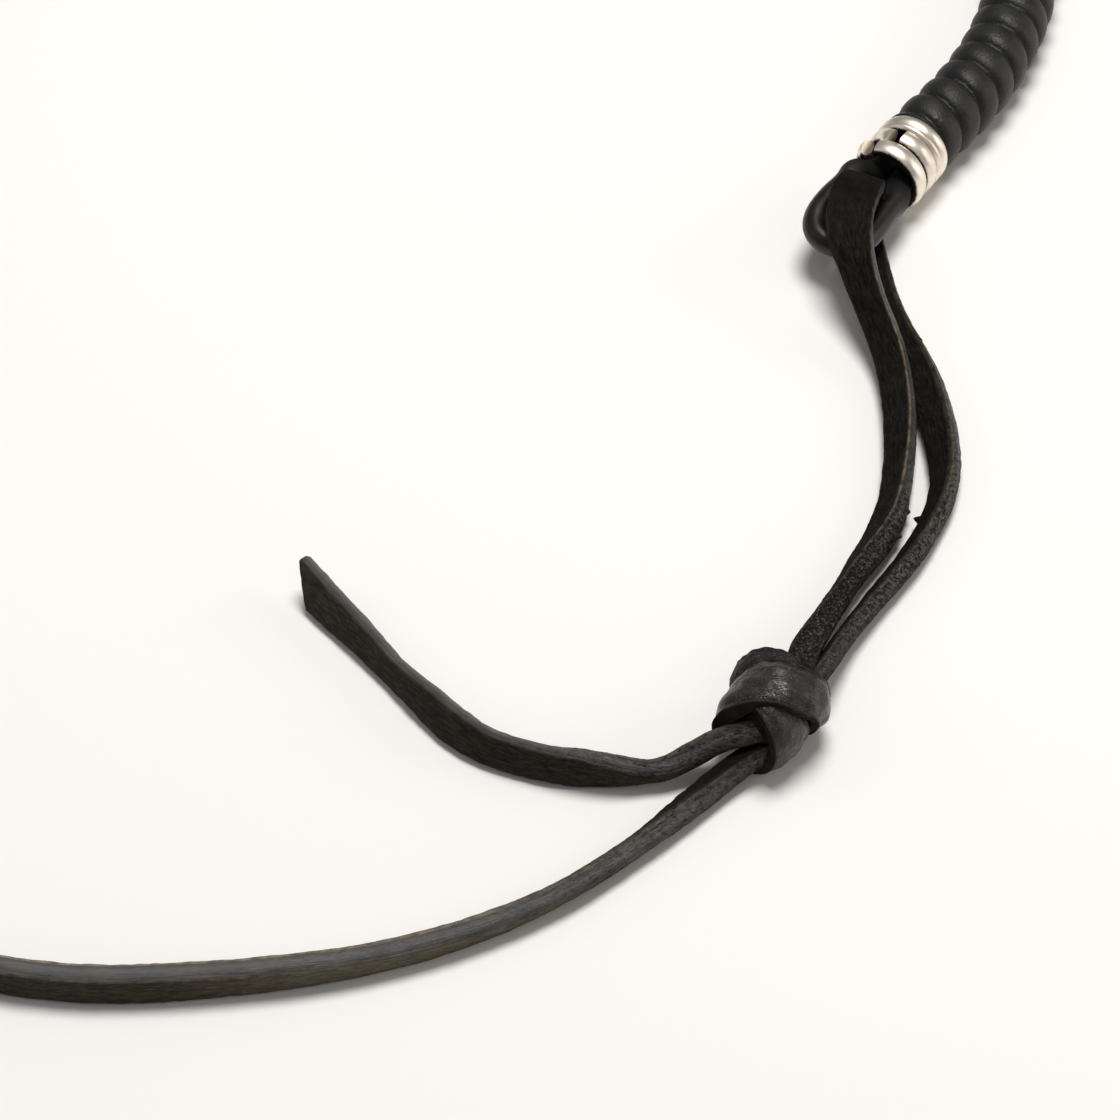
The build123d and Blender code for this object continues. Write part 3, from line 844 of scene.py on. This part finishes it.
def strand_nodes(add, source):
    """A grid bent round the strand's middle line, with a ridge for each turn of the lace."""
    path = add("GeometryNodeMeshToCurve", source["Geometry"])
    grid = add("GeometryNodeMeshGrid", 1, 1, source["Points Round"], source["Rows Along"])
    marked = add("store", grid, "winding_uv", grid.node.outputs["UV Map"], data_type="FLOAT2", domain="CORNER")
    spot = add("split", add("GeometryNodeInputPosition"))
    turn = add("+", spot, 0.5)
    share = add("+", spot.node.outputs["Y"], 0.5)
    distance = add("*", add("range", share, 0.0008, 0.9992), add("GeometryNodeCurveLength", path))
    sample = add("GeometryNodeSampleCurve", {"Curves": path, "Length": distance}, mode="LENGTH",
                 use_all_curves=True).node.outputs
    right = add("VECTOR NORMALIZE", add("VECTOR CROSS_PRODUCT", sample["Tangent"], (0, 0, 1)))
    angle = add("*", turn, 2 * math.pi)
    outward = add("VECTOR ADD", add("VECTOR SCALE", right, add("COSINE", angle)),
                  add("vector", 0, 0, add("SINE", angle)))
    plain_spot = add("VECTOR ADD", sample["Position"], add("VECTOR SCALE", outward, source["Strand Radius"]))
    # Slow unevenness of the lace's edges, over about 5 mm, and fine unevenness of its face
    slow = add("noise", plain_spot, 190, 2)
    fine = add("noise", plain_spot, 1500, 2)
    drift = add("*", add("-", slow, 0.5), source["Unevenness"])
    steps = add("/", distance, source["Lace Pitch"])
    phase = add("FRACT", add("+", add("-", steps, turn), drift))
    from_middle = add("ABSOLUTE", add("MULTIPLY_ADD", phase, 2, -1))
    crest = add("SQRT", add("-", 1, add("POWER", from_middle, 2.4)))
    drop = add("*", add("-", 1, crest), source["Ridge Depth"])
    waves = add("range", fine, 0, 1, 0.00005, -0.00001)
    uneven = add("-", add("-", source["Strand Radius"], drop), waves)
    # The first and the last row close the ends to one point
    open_rows = add("*", add("GREATER_THAN", share, 0.0001), add("LESS_THAN", share, 0.9999))
    reach = add("VECTOR SCALE", outward, add("*", uneven, open_rows))
    # Painted shade in the valleys between the lace's turns
    shaded = add("store", marked, "valley", add("range", crest, 0.9, 0.5))
    laid = add("GeometryNodeSetPosition", {
        "Geometry": shaded, "Position": add("VECTOR ADD", sample["Position"], reach)})
    return add("GeometryNodeMergeByDistance", {"Geometry": add("GeometryNodeFlipFaces", laid),
                                               "Distance": 0.000004})


def make_strand(material):
    """The wound strand: a lace laid round and round a core, its edges side by side."""
    return grow("leather_winding", strand_line()[0], {}, {
        "Lace Pitch": LACE_PITCH * MM, "Ridge Depth": RIDGE_DEPTH * MM, "Strand Radius": STRAND_RADIUS * MM,
        "Points Round": 49, "Rows Along": 1340, "Unevenness": 0.1,
    }, material, strand_nodes)


# Rings from the eye to the strand. Columns: distance from the wrap's middle towards the eye, wire
# width, the angle of the gap over the wrap's right side, and how far the sprung end stands out
# and slides towards the eye.
RINGS = [
    (2.05, 2.1, 128, 0.6, 0.65), (0, 2.1, 101, 0.5, 0.85), (-1.3, 0.95, 300, 0, 0), (-2.2, 1.75, 290, 0, 0),
]


def ring_nodes(add, source):
    """An open ring of half-round wire at each point, with its own width, gap and sprung end."""
    sweep = add("-", 2 * math.pi, add("RADIANS", source["Gap Degrees"]))
    arc = add("GeometryNodeCurveArc", {"Resolution": source["Steps Round"], "Radius": source["Ring Radius"],
                                       "Start Angle": 0, "Sweep Angle": sweep}, mode="RADIUS")
    loose = add("range", add("GeometryNodeSplineParameter"), 0, source["Sprung Share"], 1, 0,
                interpolation_type="SMOOTHSTEP")
    level = add("GeometryNodeSetCurveNormal", add("store", arc, "loose_end", loose), mode="Z_UP")
    disc = add("GeometryNodeCurvePrimitiveCircle", {"Resolution": source["Steps Section"], "Radius": 1},
               mode="RADIUS")
    sideways = add("split", add("GeometryNodeInputPosition")).node.outputs["Y"]
    recess = add("range", add("ABSOLUTE", sideways), 0.68, 0.98)
    half_height = add("*", source["Wire Height"], 0.5)
    profile = add("GeometryNodeTransform", {
        "Geometry": add("store", disc, "recess", recess), "Scale": add("vector", half_height, 0.0005, 1)})
    ring = add("GeometryNodeCurveToMesh", {"Curve": level, "Profile Curve": profile, "Fill Caps": True})
    gap_turn, wire_width, spring, slide, loose_end, recess = (
        add("read", key) for key in ("gap_turn", "wire_width", "spring", "slide", "loose_end", "recess"))
    real = add("GeometryNodeRealizeInstances", add("GeometryNodeInstanceOnPoints", {
        "Points": source["Geometry"], "Instance": ring, "Rotation": add("vector", 0, 0, gap_turn),
        "Scale": add("vector", 1, 1, wire_width)}))
    flat = add("VECTOR MULTIPLY", add("GeometryNodeInputPosition"), (1, 1, 0))
    lifted = add("VECTOR SCALE", add("VECTOR NORMALIZE", flat), add("*", loose_end, spring))
    slid = add("vector", 0, 0, add("*", loose_end, slide))
    opened = add("GeometryNodeSetPosition", {"Geometry": real, "Offset": add("VECTOR ADD", lifted, slid)})
    # The sprung ends stand clear of their neighbours, so that no tarnish gathers there
    clear = add("range", loose_end, 0.3, 0.9, 1, 0)
    return add("store", opened, "recess", add("*", recess, clear))


def make_rings(material):
    """Jump rings of half-round silver wire, soldered side by side, each with a sprung cut end."""
    reach, width, gap, spring, slide = zip(*RINGS)
    piece = grow("silver_rings", [(0, 0, way * MM) for way in reach], {
        "wire_width": width,
        "gap_turn": [math.radians(degrees) for degrees in gap],
        "spring": [way * MM for way in spring],
        "slide": [way * MM for way in slide],
    }, {
        "Ring Radius": (WRAP_RADIUS - WIRE_HEIGHT / 2) * MM, "Wire Height": WIRE_HEIGHT * MM,
        "Gap Degrees": 12.0, "Sprung Share": 0.1, "Steps Round": 140, "Steps Section": 32,
    }, material, ring_nodes)
    columns = ((*WRAP_RIGHT, 0), (*UP, 0), (*-WRAP_AXIS, 0), (*placed(*WRAP_CENTRE, WRAP_RADIUS), 1))
    piece.data.transform(Matrix(columns).transposed())
    return piece


# The eye's cord, as its centre line. Columns: how far from the wrap's middle towards the eye,
# how far right, and the height over the table.
EYE_LINE = [
    (-7.9, -1.15, 3.85), (-1, -1.15, 3.85), (2.4, -1.05, 3.95), (3.6, -1.75, 4.6), (4.9, -2.6, 5.35),
    (6.6, -2.35, 5.25), (8.8, -2.7, 5.15), (11.2, -2.75, 5.05), (13, -2.2, 4.9), (14.1, -1.2, 4.75),
    (14.4, 0.3, 4.6), (13.7, 1.9, 4.45), (12.2, 2.8, 4.3), (10, 2.85, 4.2), (7.2, 2.6, 4.05), (5, 2.55, 3.9),
    (3.6, 1.8, 3.75), (2.4, 1.1, 3.75), (-1, 1.15, 3.75), (-7.9, 1.15, 3.75),
]
EYE_CORD = 2.35
EYE_RINGS = 300
EYE_SECTION = 40


def make_eye(material):
    """The round cord of the eye, swept round its centre line, slightly flattened by wear."""
    wrap = np.array([*WRAP_CENTRE, 0])
    line = read_route([wrap - WRAP_AXIS * reach + WRAP_RIGHT * side + UP * height
                       for reach, side, height in EYE_LINE])
    lengths = line_lengths(line)
    stations = np.linspace(0, lengths[-1], EYE_RINGS)
    centre = rows_at(stations, lengths, line)
    tangent = unit(np.gradient(centre, axis=0))
    side = unit(np.cross(tangent, UP))
    out = np.cross(side, tangent)
    angle = np.linspace(0, 2 * math.pi, EYE_SECTION, endpoint=False)
    cosine, sine = np.cos(angle), np.sin(angle)
    spots = np.stack(np.broadcast_arrays(cosine * 1.2, sine * 1.2, (stations / MM)[:, None] * 0.35), axis=-1)
    swell = noise_at(spots * np.array([0.6, 0.6, 1]))
    lines = noise_at(spots * np.array([2.2, 2.2, 0.8]) + 4)
    radius = (EYE_CORD / 2 + 0.07 * swell + 0.025 * lines) * MM
    grid = centre[:, None] + radius[..., None] * (
        side[:, None] * cosine[:, None] + out[:, None] * sine[:, None])
    points = [*grid.reshape(-1, 3), centre[0], centre[-1]]
    tip = len(points) - 2
    faces = (band_faces(EYE_SECTION, 0, EYE_RINGS, way=-1) + fan_faces(EYE_SECTION, 0, tip)
             + fan_faces(EYE_SECTION, tip - EYE_SECTION, tip + 1, -1))
    # Painted shade, near black, towards the wrap's mouth
    reach = ((np.array(placed(*WRAP_CENTRE, 0)) - centre) @ WRAP_AXIS) / MM
    grime = np.repeat(smooth_step((6.6 - reach) / 2.6), EYE_SECTION)
    return finish_mesh("leather_eye_cord", points, faces, material, grime=np.append(grime, [1, 1]))


# Half outline of the sleeve. Columns: distance from the strand's end, radius.
SLEEVE_OUTLINE = [
    (0, 2.55), (0, 3.3), (0.12, 3.52), (0.35, 3.64), (0.9, 3.7), (1.25, 3.66), (1.45, 3.5), (1.65, 3.46),
    (1.85, 3.5), (2.05, 3.64), (2.4, 3.7), (5, 3.7), (8, 3.7), (8.7, 3.64), (9.6, 3.4), (10.6, 3),
    (11.4, 2.62), (11.8, 2.36), (12, 2.1), (12, 1.7), (11.8, 1.5), (11, 1.42), (5.3, 1.42), (5.3, 2.55),
]
SLEEVE_SECTION = 72


def make_sleeve(material):
    """The plain silver sleeve at the strand's far end, turned to shape, with one groove."""
    line, way = strand_line()
    start = line[-1] + way * PIECE_GAP * MM
    right = np.cross(way, UP)
    points = []
    for reach, radius in SLEEVE_OUTLINE:
        for number in range(SLEEVE_SECTION):
            angle = 2 * math.pi * number / SLEEVE_SECTION
            spoke = right * math.cos(angle) + UP * math.sin(angle)
            points.append(start + way * reach * MM + spoke * radius * MM)
    faces = band_faces(SLEEVE_SECTION, 0, len(SLEEVE_OUTLINE), closed=True, way=-1)
    return finish_mesh("silver_sleeve_turned", points, faces, material)


def main():
    make_camera()
    make_lights()
    make_table()
    lace_hide = lace_leather("dyed cowhide lace", 0.15, 0.42)
    knot = make_knot(lace_leather("dyed cowhide lace, burnished", 0.3, 0.32))
    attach(knot, "root")
    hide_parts("lace_knot")
    for lace, node, far_end, width, on_it in (
        (LEGS, "lace_legs", "knot", 2.9, [knot]),
        (TAIL, "lace_tail", "bare", 2.9, []),
        (LEAD, "lace_lead", "object", 2.7, []),
    ):
        piece, path, length = make_lace(lace, lace_hide)
        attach(piece, "root")
        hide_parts(node)
    for piece, node, slot in (
        (make_rings(polished_silver("polished sterling wire", True)), "wire_wrap", "silver_wire"),
        (make_eye(cord_leather()), "leather_eye", "cord_leather"),
        (make_strand(winding_leather()), "wound_strand", "wound_leather"),
        (make_sleeve(polished_silver("polished sterling sleeve", False)), "end_sleeve", "silver_sleeve"),
    ):
        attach(piece, "root")
        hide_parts(node)


main()
